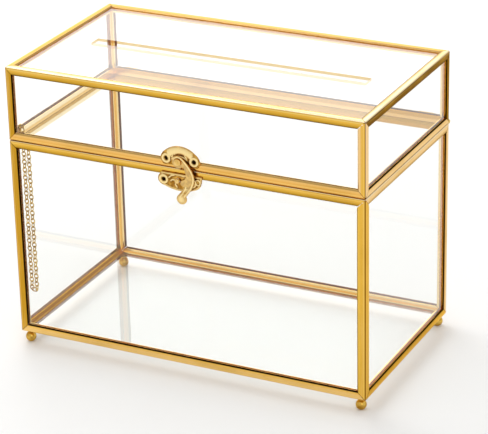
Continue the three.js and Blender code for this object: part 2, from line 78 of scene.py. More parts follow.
def add_camera():
    azimuth, elevation, roll = (math.radians(value) for value in (AZIMUTH, ELEVATION, ROLL))
    back = Vector((
        math.sin(azimuth) * math.cos(elevation),
        -math.cos(azimuth) * math.cos(elevation),
        math.sin(elevation),
    ))
    right = (-back).cross(Vector((0, 0, 1))).normalized()
    up = right.cross(-back)
    right, up = (
        right * math.cos(roll) + up * math.sin(roll),
        up * math.cos(roll) - right * math.sin(roll),
    )
    aim = Vector((0, CENTRE_Y, AIM_HEIGHT))
    camera = bpy.data.objects.new("camera", bpy.data.cameras.new("camera"))
    camera.data.lens = LENS
    camera.data.clip_end = 100
    turn = Matrix((right, up, back)).transposed()
    camera.matrix_world = Matrix.Translation(
        aim + back * CAMERA_DISTANCE - right * AIM_OFFSET[0] - up * AIM_OFFSET[1]
    ) @ turn.to_4x4()
    bpy.context.scene.collection.objects.link(camera)
    bpy.context.scene.camera = camera


add_camera()


# ---------------------------------------------------------------- shader helpers

class Nodes:
    """A material's node tree, built by small calls that return output sockets."""

    def __init__(self, name):
        self.material = bpy.data.materials.new(name)
        self.material.use_nodes = True
        self.tree = self.material.node_tree
        self.tree.nodes.clear()

    def add(self, kind, inputs=(), **settings):
        node = self.tree.nodes.new(kind)
        for key, value in settings.items():
            setattr(node, key, value)
        for key, value in dict(inputs).items():
            self.put(node.inputs[key], value)
        return node

    def put(self, socket, value):
        if isinstance(value, bpy.types.NodeSocket):
            self.tree.links.new(value, socket)
        else:
            socket.default_value = value

    def math(self, operation, a, b=0.0, clamp=False):
        node = self.add("ShaderNodeMath", {0: a, 1: b}, operation=operation)
        node.use_clamp = clamp
        return node.outputs[0]

    def ramp(self, value, low, high, start=0.0, end=1.0):
        """Smooth step of a value from low to high."""
        node = self.add(
            "ShaderNodeMapRange",
            {"Value": value, "From Min": low, "From Max": high, "To Min": start, "To Max": end},
            interpolation_type="SMOOTHSTEP",
        )
        return node.outputs["Result"]

    def mix(self, factor, a, b):
        node = self.add("ShaderNodeMix", data_type="RGBA")
        self.put(node.inputs[0], factor)
        self.put(node.inputs[6], a)
        self.put(node.inputs[7], b)
        return node.outputs[2]

    def position(self):
        return self.add("ShaderNodeTexCoord").outputs["Object"]

    def noise(self, scale, detail=3.0, stretch=(1, 1, 1), roughness=0.5):
        place = self.add("ShaderNodeMapping", {"Vector": self.position(), "Scale": stretch})
        node = self.add(
            "ShaderNodeTexNoise",
            {"Vector": place.outputs[0], "Scale": scale, "Detail": detail, "Roughness": roughness},
        )
        return node.outputs["Fac"]

    def bump(self, height, strength, distance):
        node = self.add(
            "ShaderNodeBump", {"Height": height, "Strength": strength, "Distance": distance})
        return node.outputs["Normal"]

    def finish(self, shader):
        output = self.add("ShaderNodeOutputMaterial")
        self.tree.links.new(shader, output.inputs["Surface"])
        return self.material


def srgb(red, green, blue):
    """Linear colour from 0-255 display values."""
    channels = [value / 255 for value in (red, green, blue)]
    linear = [c / 12.92 if c <= 0.04045 else ((c + 0.055) / 1.055) ** 2.4 for c in channels]
    return (*linear, 1.0)


GOLD = srgb(234, 183, 72)
DEEP_GOLD = srgb(200, 149, 40)
PALE_GOLD = srgb(243, 200, 122)
PEACH = srgb(247, 214, 166)
ORANGE_GOLD = srgb(240, 182, 92)
YELLOW_GOLD = srgb(236, 194, 84)
TAN = srgb(218, 176, 112)
CREAM = srgb(255, 238, 200)
LEMON = srgb(255, 222, 130)
OLIVE = srgb(176, 132, 30)
AMBER = srgb(98, 54, 0)
BROWN = srgb(112, 66, 14)
# painted shade, for the gaps beside the glass and along the parting
GAP_SHADE = srgb(30, 13, 2)
BRASS_EDGE = (0.9, 0.75, 0.5, 1.0)     # brass stays yellow where it is seen at a low angle


def brass_surface(nodes, tone, roughness, bump):
    return nodes.add("ShaderNodeBsdfPrincipled", {
        "Base Color": tone, "Metallic": 1.0, "Roughness": roughness, "Normal": bump,
        "Specular Tint": BRASS_EDGE,
    }).outputs[0]


def edge_distances(nodes, low, high):
    """Least and middle of the three distances from a point to the pairs of faces of a box."""
    axes = nodes.add("ShaderNodeSeparateXYZ", {"Vector": nodes.position()})
    gaps = []
    for axis in range(3):
        middle, half = (low[axis] + high[axis]) / 2, (high[axis] - low[axis]) / 2
        offset = nodes.math("ABSOLUTE", nodes.math("SUBTRACT", axes.outputs[axis], middle))
        gaps.append(nodes.math("SUBTRACT", half, offset))
    small = nodes.math("MINIMUM", gaps[0], gaps[1])
    large = nodes.math("MAXIMUM", gaps[0], gaps[1])
    least = nodes.math("MINIMUM", small, gaps[2])
    middle = nodes.math("MAXIMUM", small, nodes.math("MINIMUM", large, gaps[2]))
    return least, middle


FLANGE_BEVEL = 1.0 * MM        # the sloped inner edge of a flange
FLANGE_SHEET = 1.0 * MM        # its thickness
LIP_DEPTH = 3.3 * MM           # the inner lips lie deeper than this
SHOULDER = 1.5 * MM            # a highlight runs this far from the corner
SHOULDER_HALF = 0.6 * MM
INNER_REFLECTION_START, INNER_REFLECTION_END = 3.2 * MM, 1.1 * MM            # the painted reflection band fades in between, off the inner edge
FALL_START = 1.8 * MM          # beyond this the sheet bends back, by its bump
GRAIN, STREAK, WAVE, CLOUD = 2600, 700, 55, 38     # scales of the noise on a bar, finest first
GRAIN_STRETCH = 0.03           # along the bar, so that the grain and the streaks are drawn out


def stripe(nodes, value, centre, half_width):
    """1 along a line where the value equals the centre, fading to 0 at the half width."""
    away = nodes.math("ABSOLUTE", nodes.math("SUBTRACT", value, centre))
    return nodes.ramp(away, 0.0, half_width, 1.0, 0.0)


def blend(nodes, tone, strength, mask, colour):
    return nodes.mix(nodes.math("MULTIPLY", mask, strength), tone, colour)


def facing(nodes):
    """How far a face looks sideways and how far it looks up, each from 0 to 1."""
    normal = nodes.add("ShaderNodeSeparateXYZ", {
        "Vector": nodes.add("ShaderNodeTexCoord").outputs["Normal"]})
    side = nodes.ramp(nodes.math("ABSOLUTE", normal.outputs[0]), 0.6, 0.8)
    up = nodes.ramp(normal.outputs[2], 0.6, 0.85)
    return side, up


def came_tone(nodes, middle, reach, faces_side, faces_up, stretch, look):
    """Tone of a bar's outer sheet: painted light and shade by the way its faces look, clouds and streaks, a
    painted reflection line on the corner, a painted highlight beside it and a painted reflection band toward the
    inner edge.
    """
    cloud = nodes.ramp(nodes.noise(CLOUD), 0.4, 0.75)
    streaks = nodes.ramp(nodes.noise(STREAK, stretch=stretch), 0.5, 0.75)
    inner_reflection = nodes.ramp(middle, reach - INNER_REFLECTION_START, reach - INNER_REFLECTION_END)
    # painted light and shade: front, sideways and upward faces each get their own tone
    tone = nodes.mix(faces_side, look["front"], look["side"])
    tone = nodes.mix(faces_up, tone, look["up"])
    tone = blend(nodes, tone, 0.35, cloud, DEEP_GOLD)
    tone = blend(nodes, tone, 0.35, streaks, PALE_GOLD)
    # painted reflection line on the crown of the corner, then a painted highlight beside it
    tone = blend(nodes, tone, 0.9, stripe(nodes, middle, look["crown"], look["line"]), look["corner"])
    tone = blend(nodes, tone, look["shoulder"], stripe(nodes, middle, SHOULDER, SHOULDER_HALF), LEMON)
    # painted reflection band toward the inner edge of the sheet
    return blend(nodes, tone, 0.7, inner_reflection, look["inner_reflection"])


def came_gap_shade(nodes, least, middle, reach, faces_side, look):
    """Strength of the painted shade of the gap by the glass, on the sloped inner edges of the outer sheet."""
    edge = reach - FLANGE_BEVEL
    on_edge = nodes.ramp(middle, edge - 0.05 * MM, edge + 0.15 * MM)
    on_sheet = nodes.ramp(least, FLANGE_SHEET - 0.25 * MM, FLANGE_SHEET - 0.1 * MM, 1.0, 0.0)
    dark = nodes.ramp(faces_side, 0.0, 1.0, look["gap_shade"], look["side_gap_shade"])
    return nodes.math("MULTIPLY", nodes.math("MULTIPLY", on_edge, on_sheet), dark)


def came_brass(name, low, high, reach, grain_axis, look):
    """Folded brass came: drawn along its length, with painted reflection lines beside its corner and painted shade
    on its inner edges.
    """
    nodes = Nodes(name)
    least, middle = edge_distances(nodes, low, high)
    faces_side, faces_up = facing(nodes)
    stretch = [1.0, 1.0, 1.0]
    stretch[grain_axis] = GRAIN_STRETCH
    drawn = nodes.noise(GRAIN, detail=4, stretch=stretch, roughness=0.6)
    on_lip = nodes.ramp(least, LIP_DEPTH - 1.5 * MM, LIP_DEPTH - 0.5 * MM)
    gap_shade = came_gap_shade(nodes, least, middle, reach, faces_side, look)
    tone = came_tone(nodes, middle, reach, faces_side, faces_up, stretch, look)
    # the inner lips: painted light, lighter than the shade in their slots would leave them
    tone = nodes.mix(on_lip, tone, look["lip"])
    # painted shade of the gap between the flanges' inner edges and the glass
    tone = nodes.mix(gap_shade, tone, GAP_SHADE)
    roughness = nodes.math(
        "ADD", nodes.ramp(drawn, 0.2, 0.8, 0.16, 0.28), nodes.math("MULTIPLY", gap_shade, 0.3))
    fall = nodes.math("MULTIPLY", nodes.ramp(middle, FALL_START, reach), 0.8)
    height = nodes.math("ADD", nodes.math("MULTIPLY", drawn, 0.04), nodes.noise(WAVE, detail=2))
    height = nodes.math("SUBTRACT", height, fall)
    return nodes.finish(brass_surface(nodes, tone, roughness, nodes.bump(height, 0.4, 0.4 * MM)))


def plain_brass(name, tone_low, tone_high, roughness):
    """Small turned, drawn or cast brass: soft cloudy tone and a fine tooth."""
    nodes = Nodes(name)
    cloud = nodes.noise(220, detail=4)
    fine = nodes.noise(2400)
    tone = nodes.mix(nodes.ramp(cloud, 0.3, 0.7), tone_low, tone_high)
    rough = nodes.ramp(fine, 0.25, 0.75, roughness - 0.06, roughness + 0.08)
    height = nodes.math("ADD", cloud, nodes.math("MULTIPLY", fine, 0.25))
    return nodes.finish(brass_surface(nodes, tone, rough, nodes.bump(height, 0.3, 0.15 * MM)))


BOTH_FACES = 1.4               # a pane mirrors at both faces; only the one a ray meets first is drawn
GLASS_TINT = (0.992, 0.996, 0.993, 1)
# painted reflection of the brass in the panes' edges
GLASS_EDGE = (0.80, 0.60, 0.32, 1)


def clear_glass(name, thin_axis):
    """Sheet glass: clear through its faces, faintly green, with ground edges tinted by a painted reflection of the
    brass.
    """
    nodes = Nodes(name)
    normal = nodes.add("ShaderNodeSeparateXYZ", {
        "Vector": nodes.add("ShaderNodeTexCoord").outputs["Normal"]}).outputs[thin_axis]
    on_edge = nodes.ramp(nodes.math("ABSOLUTE", normal), 0.5, 0.7, 1.0, 0.0)
    tint = nodes.mix(on_edge, GLASS_TINT, GLASS_EDGE)
    through = nodes.add("ShaderNodeBsdfTransparent", {"Color": tint}).outputs[0]
    smear = nodes.ramp(nodes.noise(14, detail=4), 0.35, 0.75, 0.0, 0.05)
    shine = nodes.add("ShaderNodeBsdfGlossy", {
        "Color": (1, 1, 1, 1), "Roughness": smear}).outputs[0]
    outside = nodes.math("SUBTRACT", 1.0, nodes.add("ShaderNodeNewGeometry").outputs["Backfacing"])
    mirrored = nodes.add("ShaderNodeFresnel", {"IOR": 1.52}).outputs[0]
    factor = nodes.math("MULTIPLY", nodes.math("MULTIPLY", mirrored, outside), BOTH_FACES, clamp=True)
    glass = nodes.add("ShaderNodeMixShader", {0: factor, 1: through, 2: shine})
    return nodes.finish(glass.outputs[0])


# ---------------------------------------------------------------- frame and glass

BOXES = {
    "base": ((LEFT, FRONT, FOOT_TOP), (RIGHT, REAR, BASE_TOP)),
    "lid": ((LEFT, FRONT, LID_BOTTOM), (RIGHT, REAR, LID_TOP)),
}
RIM_REACH = 5.3 * MM           # width of a rim rail's outer flange
EDGE_ROUND = 0.12 * MM


def dress(node, material):
    node.data.materials.clear()
    node.data.materials.append(material)


def round_edges(node, width):
    bevel = node.modifiers.new("rounded_edges", "BEVEL")
    bevel.width = width
    bevel.segments = 2
    bevel.limit_method = "ANGLE"
    bevel.angle_limit = math.radians(30)
    bevel.harden_normals = True


def long_axis(name):
    low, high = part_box(name)
    return max(range(3), key=lambda axis: high[axis] - low[axis])


def bar_reach(name):
    low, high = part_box(name)
    return RIM_REACH if "rim" in name else sorted(high - low)[1]


PLAIN = {
    "front": GOLD, "side": PEACH, "up": CREAM,      # painted light and shade: a tone for each way a face looks
    "corner": BROWN,                                # painted reflection line on the crown of the rounded corner, its place and its half width
    "crown": 0.47 * MM, "line": 0.45 * MM,          # its place and its half width
    # strength of the painted highlight beside the corner; colour of the painted reflection band by the inner edge
    "shoulder": 0.4, "inner_reflection": DEEP_GOLD,
    "gap_shade": 1.0, "side_gap_shade": 1.0,              # how dark the painted shade of the gap by the glass is on the flanges' inner edges
    "lip": srgb(251, 222, 158),                     # the inner lips, seen through the glass, with painted light against the shade of their slots
}
LOOKS = {                      # how a bar's painted light and shade differ from the plain one: face tones, corner lines, highlights, inner bands, edge shade and lips; the last match counts
    "rim_rail": {"crown": 0.26 * MM, "inner_reflection": PALE_GOLD, "gap_shade": 0.8},
    "rim_rail_front": {"gap_shade": 0.4},
    # painted shade along the parting, under the lid rim
    "lid_rim_rail": {"front": ORANGE_GOLD, "corner": GAP_SHADE},
    "lid_rim_rail_right": {"line": 0.8 * MM},
    "base_rim_rail": {"corner": CREAM, "inner_reflection": OLIVE},
    "top_rail": {"corner": CREAM, "shoulder": 0.8, "gap_shade": 0.6},
    "top_rail_front": {"inner_reflection": OLIVE},
    "top_rail_right": {"side": AMBER, "shoulder": 0.15, "inner_reflection": AMBER, "gap_shade": 1.0},
    "top_rail_rear": {"up": TAN, "inner_reflection": TAN, "gap_shade": 0.12},
    "top_rail_left": {"up": TAN, "inner_reflection": TAN, "gap_shade": 0.3},
    "lid_post_rear_right": {"side": AMBER},
    "base_post_front_left": {"front": DEEP_GOLD},
    "lid_post_front_left": {"front": DEEP_GOLD},
    "lid_post_front_right": {"inner_reflection": PEACH, "gap_shade": 0.15},
    "base_post_front_right": {"side": GOLD, "line": 0.7 * MM, "inner_reflection": YELLOW_GOLD, "gap_shade": 0.4},
    "base_bottom_rail": {"corner": PALE_GOLD, "side": GOLD},
    "base_bottom_rail_front": {"front": PALE_GOLD, "inner_reflection": GOLD},
    "base_bottom_rail_left": {"lip": srgb(206, 168, 66)},
    "rim_rail_rear": {"lip": srgb(214, 160, 62)},
    "rim_rail_left": {"lip": CREAM},
}


def bar_look(name):
    look = dict(PLAIN)
    for key, changes in LOOKS.items():
        if key in name:
            look.update(changes)
    return look


def finish_bars():
    made = {}
    for name, node in frame["nodes"].items():
        if "_post_" not in name and "_rail_" not in name:
            continue
        box_name = name.split("_")[0]
        look = bar_look(name)
        key = (box_name, long_axis(name), round(bar_reach(name), 5), tuple(look.values()))
        if key not in made:
            low, high = BOXES[box_name]
            made[key] = came_brass(f"came_{box_name}_{len(made)}", low, high, key[2], key[1], look)
        dress(node, made[key])
        round_edges(node, EDGE_ROUND)


def finish_panes():
    materials = [clear_glass(f"clear_glass_{axis}", index) for index, axis in enumerate("xyz")]
    for name, node in frame["nodes"].items():
        if "_pane_" in name:
            low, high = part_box(name)
            thin = min(range(3), key=lambda axis: high[axis] - low[axis])
            dress(node, materials[thin])


finish_bars()
finish_panes()


# ---------------------------------------------------------------- mesh helpers

def add_piece(name, vertices, faces, material, body, replaced, slot):
    """Smooth mesh piece in place of CAD nodes; vertices are in metres in the row frame."""
    mesh = bpy.data.meshes.new(name)
    mesh.from_pydata([tuple(map(float, v)) for v in vertices], [], [tuple(map(int, f)) for f in faces])
    mesh.update()
    mesh.shade_smooth()
    mesh.materials.append(material)
    piece = bpy.data.objects.new(name, mesh)
    bpy.context.scene.collection.objects.link(piece)
    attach(piece, body)
    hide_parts(*replaced)
    return piece


def merged(parts):
    """One list of vertices and faces from several."""
    vertices, faces = [], []
    for part_vertices, part_faces in parts:
        faces += [tuple(len(vertices) + index for index in face) for face in part_faces]
        vertices += [Vector(v) for v in part_vertices]
    return vertices, faces


def lathe(profile, centre, segments=48):
    """Turned solid about a vertical axis; the profile starts and ends on the axis."""
    vertices = [centre + Vector((0, 0, profile[0][1]))]
    faces = []
    inner = profile[1:-1]
    for radius, height in inner:
        for step in range(segments):
            angle = 2 * math.pi * step / segments
            ring_point = Vector((radius * math.cos(angle), radius * math.sin(angle), height))
            vertices.append(centre + ring_point)
    last = len(vertices)
    vertices.append(centre + Vector((0, 0, profile[-1][1])))
    for step in range(segments):
        after = (step + 1) % segments
        faces.append((0, 1 + after, 1 + step))
        for row in range(len(inner) - 1):
            a, b = 1 + row * segments, 1 + (row + 1) * segments
            faces.append((a + step, a + after, b + after, b + step))
        top = 1 + (len(inner) - 1) * segments
        faces.append((top + step, top + after, last))
    return vertices, faces


def closed_tube(points, radius, flat_normal, sides=8):
    """Round wire along a closed flat loop; flat_normal is across the loop's plane."""
    count = len(points)
    vertices, faces = [], []
    for index, point in enumerate(points):
        along = (points[(index + 1) % count] - points[index - 1]).normalized()
        across = along.cross(flat_normal).normalized()
        for side in range(sides):
            angle = 2 * math.pi * side / sides
            vertices.append(point + radius * (math.cos(angle) * across + math.sin(angle) * flat_normal))
    for index in range(count):
        row, next_row = index * sides, (index + 1) % count * sides
        for side in range(sides):
            beyond = (side + 1) % sides
            faces.append((row + side, row + beyond, next_row + beyond, next_row + side))
    return vertices, faces


def surface_nets(field, low, step):
    """Closed quad mesh of a sampled distance field, negative inside."""
    shape = [size - 1 for size in field.shape]

    def corner(values, offset):
        return values[tuple(slice(o, o + size) for o, size in zip(offset, shape))]

    total = np.zeros((*shape, 3))
    hits = np.zeros(shape)
    for axis in range(3):
        for u in (0, 1):
            for v in (0, 1):
                start = np.roll([0, u, v], axis)
                along = np.roll([1, 0, 0], axis)
                near, far = corner(field, start), corner(field, start + along)
                crossed = (near < 0) != (far < 0)
                share = np.where(crossed, near / np.where(crossed, near - far, 1), 0)
                point = start + share[..., None] * along
                total += np.where(crossed[..., None], point, 0)
                hits += crossed
    mixed = hits > 0
    number = np.full(shape, -1)
    number[mixed] = np.arange(mixed.sum())
    vertices = np.array(low) + (np.argwhere(mixed) + total[mixed] / hits[mixed][:, None]) * step
    faces = []
    for axis in range(3):
        along, a, b = (np.roll([1, 0, 0], axis + turn) for turn in range(3))
        inside = field < 0
        first = inside[tuple(slice(0, -1) if i == axis else slice(None) for i in range(3))]
        second = inside[tuple(slice(1, None) if i == axis else slice(None) for i in range(3))]
        for edges, order in ((first & ~second, (0, 1, 2, 3)), (~first & second, (3, 2, 1, 0))):
            at = np.argwhere(edges)
            ring = [at - a - b, at - b, at, at - a]
            quad = np.stack([number[tuple(cell.T)] for cell in ring], 1)
            faces += quad[:, order].tolist()
    return vertices, faces


def box_distance(offsets, halves, rounding):
    """Distance to a rounded box; offsets are coordinates from its centre."""
    gaps = [np.abs(offset) - half + rounding for offset, half in zip(offsets, halves)]
    outside = np.sqrt(sum(np.maximum(gap, 0) ** 2 for gap in gaps))
    inside = np.minimum(np.maximum.reduce(np.broadcast_arrays(*gaps)), 0)
    return outside + inside - rounding


def slab_distance(flat, depth, near, far, rounding):
    """Distance to a rounded slab whose outline has the flat distance given."""
    across = np.abs(depth - (near + far) / 2) - (far - near) / 2 + rounding
    flat = flat + rounding
    inside = np.minimum(np.maximum(flat, across), 0)
    outside = np.hypot(np.maximum(flat, 0), np.maximum(across, 0))
    return inside + outside - rounding


def smooth_union(a, b, width):
    """Union of two distances with a fillet of about that width."""
    share = np.clip(0.5 + 0.5 * (b - a) / width, 0, 1)
    return b * (1 - share) + a * share - width * share * (1 - share)


def segment_distance(x, z, start, end):
    """Distance to one straight segment; the tiny addend keeps a segment of no length from dividing by 0."""
    along_x, along_z = end[0] - start[0], end[1] - start[1]
    squared = along_x * along_x + along_z * along_z + 1e-12
    share = np.clip(((x - start[0]) * along_x + (z - start[1]) * along_z) / squared, 0, 1)
    return np.hypot(x - start[0] - share * along_x, z - start[1] - share * along_z)


def stroke_distance(x, z, points):
    """Distance to an open line of points."""
    nearest = np.full(np.broadcast(x, z).shape, 1e9)
    for start, end in zip(points, points[1:]):
        nearest = np.minimum(nearest, segment_distance(x, z, start, end))
    return nearest


def polygon_distance(x, z, points):
    """Signed distance to a closed outline, negative inside."""
    nearest = stroke_distance(x, z, points + points[:1])
    inside = np.zeros(nearest.shape, bool)
    for (ax, az), (bx, bz) in zip(points, points[1:] + points[:1]):
        if az != bz:
            crosses = (az > z) != (bz > z)
            inside ^= crosses & (x < ax + (z - az) * (bx - ax) / (bz - az))
    return np.where(inside, -nearest, nearest)


def arc(cx, cz, radius, start, end, steps=24):
    """Points on an arc, angles in degrees."""
    angles = [math.radians(start + (end - start) * step / steps) for step in range(steps + 1)]
    return [(cx + radius * math.cos(angle), cz + radius * math.sin(angle)) for angle in angles]


def bezier(*controls, steps=16):
    """Points on a Bezier curve of any degree, without its first point."""
    points = []
    for step in range(1, steps + 1):
        t = step / steps
        row = list(controls)
        while len(row) > 1:
            row = [tuple(p + (q - p) * t for p, q in zip(a, b)) for a, b in zip(row, row[1:])]
        points.append(row[0])
    return points


def grid(low, high, step):
    """Open coordinate arrays for a box of samples."""
    axes = [np.arange(a, b + step, step) for a, b in zip(low, high)]
    return np.ix_(*axes)


# ---------------------------------------------------------------- small brass pieces

SMALL_BRASS = plain_brass("turned_brass", srgb(224, 184, 88), srgb(176, 130, 44), 0.16)
WIRE_BRASS = plain_brass("brass_wire", srgb(232, 200, 112), srgb(184, 148, 62), 0.2)
BALL_STEPS = 24


def add_feet():
    """Ball feet on a solder pad."""
    ball, flat, neck, pad = 3.6, 1.3, 1.45, 2.25       # radii, in millimetres
    pad_bottom, pad_top = 7.45, 7.85
    centre = math.sqrt(ball ** 2 - flat ** 2)
    low, high = math.asin(flat / ball), math.pi - math.asin(neck / ball)
    profile = [(0, 0), (flat * 0.8, 0)]
    for step in range(BALL_STEPS + 1):
        angle = low + (high - low) * step / BALL_STEPS
        profile.append((ball * math.sin(angle), centre - ball * math.cos(angle)))
    profile += [(neck + 0.12, pad_bottom - 0.45), (neck + 0.4, pad_bottom - 0.2)]
    profile += [(pad, pad_bottom), (pad, pad_top), (0, pad_top)]
    profile = [(radius * MM, height * MM) for radius, height in profile]
    for corner in ("front_left", "front_right", "rear_left", "rear_right"):
        node = f"foot_{corner}"
        low_corner, high_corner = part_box(node)
        middle = (low_corner + high_corner) / 2
        vertices, faces = lathe(profile, Vector((middle.x, middle.y, 0)))
        add_piece(f"ball_{node}", vertices, faces, SMALL_BRASS, "base", [node], "brass_frame")


add_feet()


# ---------------------------------------------------------------- clasp

# Clasp shapes are in millimetres: x to the right, d forward from the frame's front face and
# z up from the parting.

PIVOT = (-0.6, 5.4)
STUD = (-2.0, -8.0)
THUMB = (2.3, -18.6)
LID_HOLES = [(-9.8, 6.4), (9.8, 6.4)]
BASE_HOLES = [(-12.2, -8.3), (8.0, -8.3)]
HOLE_RADIUS = 1.3
PIVOT_HOLE_RADIUS = 1.55
STUD_HOLE_RADIUS = 1.45
LOBE = 4.2                    # radius of the plate round a hole
DOME, CREST, ARCH = 16.2, 13.2, 9.2        # radii of the half-moon's edge, its crest and the inner arch
PLATE_FRONT = 0.95            # flat front of the two plates, without the relief
HOOK_BACK, HOOK_FRONT = 1.95, 3.0
HOOK_BEND = 2.2               # the tail bends this far forward
BEND_TOP, BEND_END = -11.4, -15.0
CLASP_STEP = 0.16             # spacing of the samples that the shapes are meshed from


def on_front(x, d, z):
    """A clasp point in metres, in the row frame."""
    return Vector((x * MM, FRONT - d * MM, PARTING + z * MM))


def clasp_mesh(distance, low, high):
    """Mesh of a clasp piece from its distance function of (x, d, z)."""
    x, d, z = grid(low, high, CLASP_STEP)
    field = np.broadcast_to(distance(x, d, z), np.broadcast(x, d, z).shape)
    vertices, faces = surface_nets(field, low, CLASP_STEP)
    return [on_front(*v) for v in vertices], [face[::-1] for face in faces]


def hole_pair(x, z, places):
    (ax, az), (bx, bz) = places
    return np.minimum(np.hypot(x - ax, z - az), np.hypot(x - bx, z - bz))


def relief(distance, width, height):
    """A rounded ridge of that half-width round a line or area."""
    return height * np.clip(1 - (np.maximum(distance, 0) / width) ** 2, 0, 1)


def plate_distance(d, flat, raised):
    """A cast plate with a rounded edge, whose front is raised by the relief."""
    return slab_distance(flat, d, SOLDER_GAP, PLATE_FRONT + raised, 0.35)


def hole_rims(holes):
    return relief(np.abs(holes - 2.5) - 0.3, 0.7, 0.75)


def drilled(plate, d, holes, pin_hole):
    """A plate with its blind fixing holes and the hole of its pin."""
    bore = np.maximum(holes - HOLE_RADIUS, 0.45 - d)
    return np.maximum(np.maximum(plate, -bore), -pin_hole)


def lid_plate_distance(x, d, z):
    """Half-moon with a raised crest, scrolls beside it and raised rims round the holes."""
    radius = np.hypot(x, z + 0.6)
    dome = np.maximum(radius - DOME, 2.25 - z)
    holes = hole_pair(x, z, LID_HOLES)
    flat = smooth_union(np.maximum(dome, np.abs(x) - 12.2), holes - LOBE, 1.2)
    crest = np.maximum(np.abs(radius - CREST), (np.abs(x) - 7.6) * 1.6)
    inner = np.maximum(np.abs(radius - ARCH), np.abs(x + 0.5) - 5)
    scrolls = np.minimum(
        stroke_distance(x, z, arc(-6.2, 9.6, 1.6, -80, 210)),
        stroke_distance(x, z, arc(5.4, 9.8, 1.6, -40, 240)),
    )
    raised = np.maximum.reduce([
        relief(crest, 3.2, 0.75),
        hole_rims(holes),
        relief(inner, 0.8, 0.6),
        relief(scrolls, 0.7, 0.75) * np.ones_like(holes),
    ])
    pivot_hole = np.hypot(x - PIVOT[0], z - PIVOT[1]) - PIVOT_HOLE_RADIUS
    return drilled(plate_distance(d, flat, raised), d, holes, pivot_hole)


def base_plate_outline():
    points = [(-14.2, -3.2), (-12.2, -12.5)]
    points += bezier((-12.2, -12.5), (0, -17.7), (11.2, -12.5))
    points += bezier((11.2, -12.5), (15.2, -10.5), (15.2, -3.2), steps=8)
    return points


def base_plate_distance(x, d, z):
    """Shield with leaf scrolls round the stud and a curl at its right-hand end."""
    holes = hole_pair(x, z, BASE_HOLES)
    shield = polygon_distance(x, z, base_plate_outline())
    flat = smooth_union(shield, holes - LOBE, 0.8)
    leaf = np.minimum(
        stroke_distance(x, z, [(-8.2, -6.6), (-6.4, -5), (-4.4, -4.5)]),
        stroke_distance(x, z, arc(-5.2, -9.6, 1.9, 150, -40) + [(-2.6, -12.4)]),
    )
    band = stroke_distance(x, z, [(-9.6, -4.1), (-2, -4.1), (3, -4.6)])
    curl = stroke_distance(x, z, arc(12.2, -7.2, 1.7, -150, 130))
    raised = np.maximum.reduce([
        hole_rims(holes),
        relief(np.minimum(leaf, curl), 0.75, 0.75) * np.ones_like(holes),
        relief(band, 0.7, 0.5) * np.ones_like(holes),
        relief(np.abs(shield + 0.8), 0.8, 0.4),
    ])
    stud_hole = np.hypot(x - STUD[0], z - STUD[1]) - STUD_HOLE_RADIUS
    return drilled(plate_distance(d, flat, raised), d, holes, stud_hole)


def hook_outline():
    """The swing hook: round head, bulging arm with an inward beak, and a tail to a thumb ball."""
    points = arc(*PIVOT, 4.2, -39.6, -315)
    points += bezier((2.37, 8.37), (6.4, 5.2), (10.9, -0.8), (10.7, -4.8))
    points += bezier((10.7, -4.8), (10.6, -8.8), (9.2, -11.2), (5.6, -16.6))
    points += arc(*THUMB, 3.5, 28.8, -225)
    points += bezier((-0.17, -16.13), (2.2, -13.8), (3.2, -11.2), steps=8)
    points += bezier((1.1, -10.4), (0.1, -8.7), (1.2, -7), steps=6)
    points += bezier((1.2, -7), (4.6, -5.8), (4.6, -3.2), steps=8)
    points += bezier((4.6, -3.2), (4.4, 0.4), (2.6, 2.7), steps=8)
    return points[:-1]


def hook_distance(x, d, z):
    """Flat arm with a raised outer rim and a vein down the tail; the thumb ball stands forward."""
    outline = polygon_distance(x, z, hook_outline())
    bend = HOOK_BEND * np.clip((BEND_TOP - z) / (BEND_TOP - BEND_END), 0, 1)
    outer_line = arc(*PIVOT, 3.5, 150, 45)
    outer_line += bezier((1.9, 7.9), (5.6, 5), (10.2, -1), (10, -4.8))
    outer_line += bezier((10, -4.8), (9.8, -8.4), (8.4, -11), (4.6, -16.4))
    outer = stroke_distance(x, z, outer_line)
    vein = stroke_distance(x, z, bezier((4.6, -10.4), (4.4, -13), (1.6, -16.8)))
    rim = np.maximum(relief(outer, 0.8, 0.5), relief(vein, 0.7, 0.45))
    arm = slab_distance(outline, d - bend, HOOK_BACK, HOOK_FRONT + rim, 0.4)
    thumb = np.sqrt((x - THUMB[0]) ** 2 + (z - THUMB[1]) ** 2 + ((d - 4.3) * 2.6) ** 2) - 3.45
    hook = smooth_union(arm, thumb, 0.3)
    hole = np.hypot(x - PIVOT[0], z - PIVOT[1]) - PIVOT_HOLE_RADIUS
    return np.maximum(hook, -hole)


def turned_pin(centre, shank, head, head_near, head_far):
    """Headed pin pointing forward, as rings of (radius, forward) about the clasp's d axis."""
    rim = head_near + 0.2
    profile = [(0, SOLDER_GAP), (shank, SOLDER_GAP)]
    profile += [(shank, head_near), (head - 0.15, head_near), (head, rim)]
    for step in range(1, 8):
        angle = math.pi / 2 * step / 8
        profile.append((head * math.cos(angle), rim + (head_far - rim) * math.sin(angle)))
    profile.append((0, head_far))
    vertices, faces = lathe(profile, Vector((0, 0, 0)), 32)
    return [on_front(centre[0] + v.x, v.z, centre[1] + v.y) for v in vertices], faces


CAST_DEEP, CAST_MIDDLE, CAST_PALE = srgb(160, 106, 22), srgb(222, 172, 78), srgb(253, 226, 160)
CAST_HOLLOW, CAST_HOLE_SHADE = srgb(84, 46, 6), srgb(30, 16, 4)


